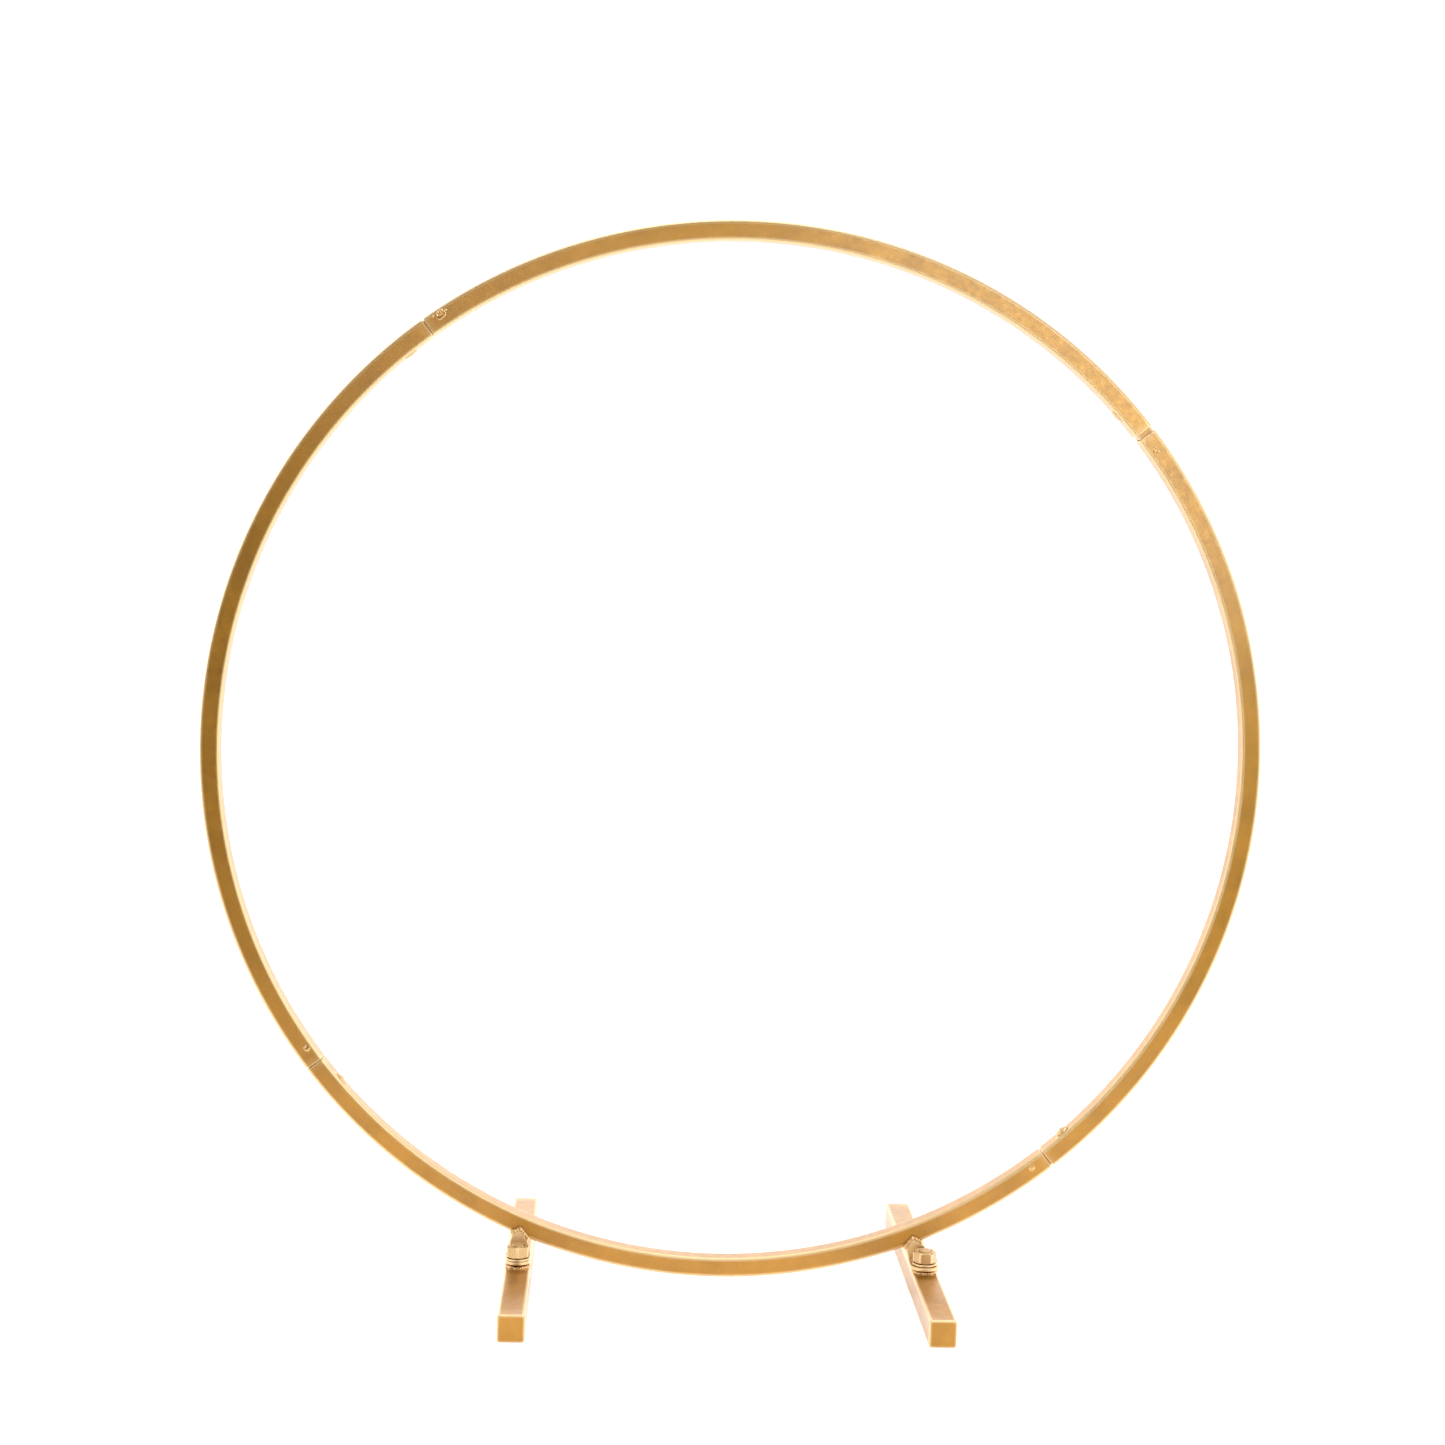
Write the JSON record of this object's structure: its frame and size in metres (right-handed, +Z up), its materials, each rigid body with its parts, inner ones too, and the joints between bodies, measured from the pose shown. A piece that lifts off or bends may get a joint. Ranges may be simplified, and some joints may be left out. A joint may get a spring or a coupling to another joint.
{
  "type": "wreath frame",
  "caption": "Free-standing round hoop of square tube in sleeved arcs, bolted by brackets to swivelling square-tube feet, for building wreaths and flower displays.",
  "frame": {"origin": "under the middle of the feet, on the surface that they stand on", "axes": "+Z up through the hoop, -Y the front, +X to the right seen from the front"},
  "size_m": [0.8, 0.3, 0.809],
  "materials": {
    "gold_painted_tube": "satin metallic gold paint",
    "gold_painted_bracket": "satin metallic gold paint",
    "gold_painted_spigot": "satin metallic gold paint, thin",
    "gold_painted_weld": "satin metallic gold paint over weld metal",
    "gold_painted_fastener": "satin metallic gold paint over steel fasteners"
  },
  "bodies": {
    "hoop": {"arc_top": "gold_painted_tube", "arc_left": "gold_painted_tube", "arc_bottom": "gold_painted_tube", "arc_right": "gold_painted_tube", "spigot_upper_right": "gold_painted_spigot", "spigot_upper_left": "gold_painted_spigot", "spigot_lower_left": "gold_painted_spigot", "spigot_lower_right": "gold_painted_spigot", "plug_weld_upper_right": "gold_painted_weld", "plug_weld_upper_left": "gold_painted_weld", "plug_weld_lower_left": "gold_painted_weld", "plug_weld_lower_right": "gold_painted_weld", "joint_screw_upper_right": "gold_painted_fastener", "joint_screw_upper_left": "gold_painted_fastener", "joint_screw_lower_left": "gold_painted_fastener", "joint_screw_lower_right": "gold_painted_fastener", "bracket_left": "gold_painted_bracket", "bracket_right": "gold_painted_bracket", "bracket_weld_left": "gold_painted_weld", "bracket_weld_right": "gold_painted_weld"},
    "foot_left": {"foot_tube_left": "gold_painted_tube", "foot_cap_left_front": "gold_painted_tube", "foot_cap_left_rear": "gold_painted_tube", "foot_bolt_left": "gold_painted_fastener", "bolt_weld_left": "gold_painted_weld"},
    "washer_left": {"washer_left": "gold_painted_fastener"},
    "nut_left": {"nut_left": "gold_painted_fastener"},
    "foot_right": {"foot_tube_right": "gold_painted_tube", "foot_cap_right_front": "gold_painted_tube", "foot_cap_right_rear": "gold_painted_tube", "foot_bolt_right": "gold_painted_fastener", "bolt_weld_right": "gold_painted_weld"},
    "washer_right": {"washer_right": "gold_painted_fastener"},
    "nut_right": {"nut_right": "gold_painted_fastener"}
  },
  "joints": [
    {"name": "foot_left_swivel", "type": "hinge", "parent": "hoop", "child": "foot_left", "pos_m": [-0.155, -0.035, 0.02], "axis": [0, 0, 1], "range_deg": [-40, 90]},
    {"name": "washer_left_lift", "type": "slide", "parent": "foot_left", "child": "washer_left", "axis": [0, 0, 1], "range_m": [0, 0.0075]},
    {"name": "nut_left_turn", "type": "hinge", "parent": "washer_left", "child": "nut_left", "pos_m": [-0.155, -0.035, 0.032], "axis": [0, 0, 1], "range_deg": [0, 1800]},
    {"name": "foot_right_swivel", "type": "hinge", "parent": "hoop", "child": "foot_right", "pos_m": [0.155, -0.035, 0.02], "axis": [0, 0, 1], "range_deg": [-90, 40]},
    {"name": "washer_right_lift", "type": "slide", "parent": "foot_right", "child": "washer_right", "axis": [0, 0, 1], "range_m": [0, 0.0075]},
    {"name": "nut_right_turn", "type": "hinge", "parent": "washer_right", "child": "nut_right", "pos_m": [0.155, -0.035, 0.032], "axis": [0, 0, 1], "range_deg": [0, 1800]}
  ],
  "couplings": [
    {"joint": "washer_left_lift", "follows": "nut_left_turn", "m_per_rad": 0.00023873},
    {"joint": "washer_right_lift", "follows": "nut_right_turn", "m_per_rad": 0.00023873}
  ]
}
